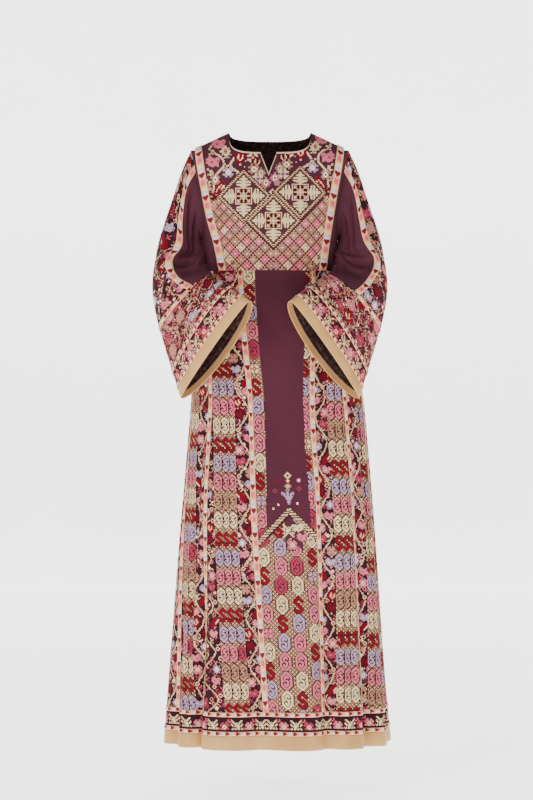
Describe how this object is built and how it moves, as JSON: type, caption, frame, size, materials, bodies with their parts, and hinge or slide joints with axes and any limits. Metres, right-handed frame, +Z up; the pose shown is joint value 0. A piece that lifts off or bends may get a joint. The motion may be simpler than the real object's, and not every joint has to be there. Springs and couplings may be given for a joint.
{
  "type": "palestinian thobe dress",
  "caption": "Floor-length embroidered thobe in its worn, hollow form, with bell sleeves held in front, ribboned seams, a slit neck and satin bands at hem and cuffs.",
  "frame": {"origin": "midway between the two neck points of the shoulder seams, where the wearer's shoulders hold the dress", "axes": "+Z up along the dress, front faces -Y, +X towards the wearer's left side"},
  "size_m": [0.5589, 0.4657, 1.4279],
  "materials": {
    "embroidery": "plum cloth covered in cross stitch in cream, pink, dark red and lavender thread",
    "crepe": "matte plum crepe",
    "satin": "soft beige satin",
    "ribbon": "woven ribbon of silky thread, cream with pink, lavender and dark red hearts",
    "binding": "narrow cord-like binding, cream over a dark edge"
  },
  "bodies": {
    "root": {"bodice_back": "embroidery", "bodice_front": "embroidery", "cuff_band_left": "satin", "cuff_band_right": "satin", "hem_band_back": "satin", "hem_band_front": "satin", "neck_binding_back": "binding", "neck_binding_front": "binding", "ribbon_bell_left": "ribbon", "ribbon_bell_right": "ribbon", "ribbon_chest_left": "ribbon", "ribbon_chest_right": "ribbon", "ribbon_cuff_lower_left": "ribbon", "ribbon_cuff_lower_right": "ribbon", "ribbon_cuff_upper_left": "ribbon", "ribbon_cuff_upper_right": "ribbon", "ribbon_hem_lower": "ribbon", "ribbon_hem_upper": "ribbon", "ribbon_skirt_back_left": "ribbon", "ribbon_skirt_back_right": "ribbon", "ribbon_skirt_fore_left": "ribbon", "ribbon_skirt_fore_right": "ribbon", "ribbon_skirt_front_left": "ribbon", "ribbon_skirt_front_right": "ribbon", "ribbon_skirt_rear_left": "ribbon", "ribbon_skirt_rear_right": "ribbon", "ribbon_skirt_side_left": "ribbon", "ribbon_skirt_side_right": "ribbon", "ribbon_sleeve_back_left": "ribbon", "ribbon_sleeve_back_right": "ribbon", "ribbon_sleeve_front_left": "ribbon", "ribbon_sleeve_front_right": "ribbon", "side_back_left": "crepe", "side_back_right": "crepe", "side_front_left": "crepe", "side_front_right": "crepe", "skirt_back_left": "embroidery", "skirt_back_middle": "embroidery", "skirt_back_right": "embroidery", "skirt_front_left": "embroidery", "skirt_front_middle": "embroidery", "skirt_front_right": "embroidery", "skirt_side_back_left": "embroidery", "skirt_side_back_right": "embroidery", "skirt_side_front_left": "embroidery", "skirt_side_front_right": "embroidery", "sleeve_inset_left": "crepe", "sleeve_inset_right": "crepe", "sleeve_left": "embroidery", "sleeve_right": "embroidery"}
  },
  "joints": []
}
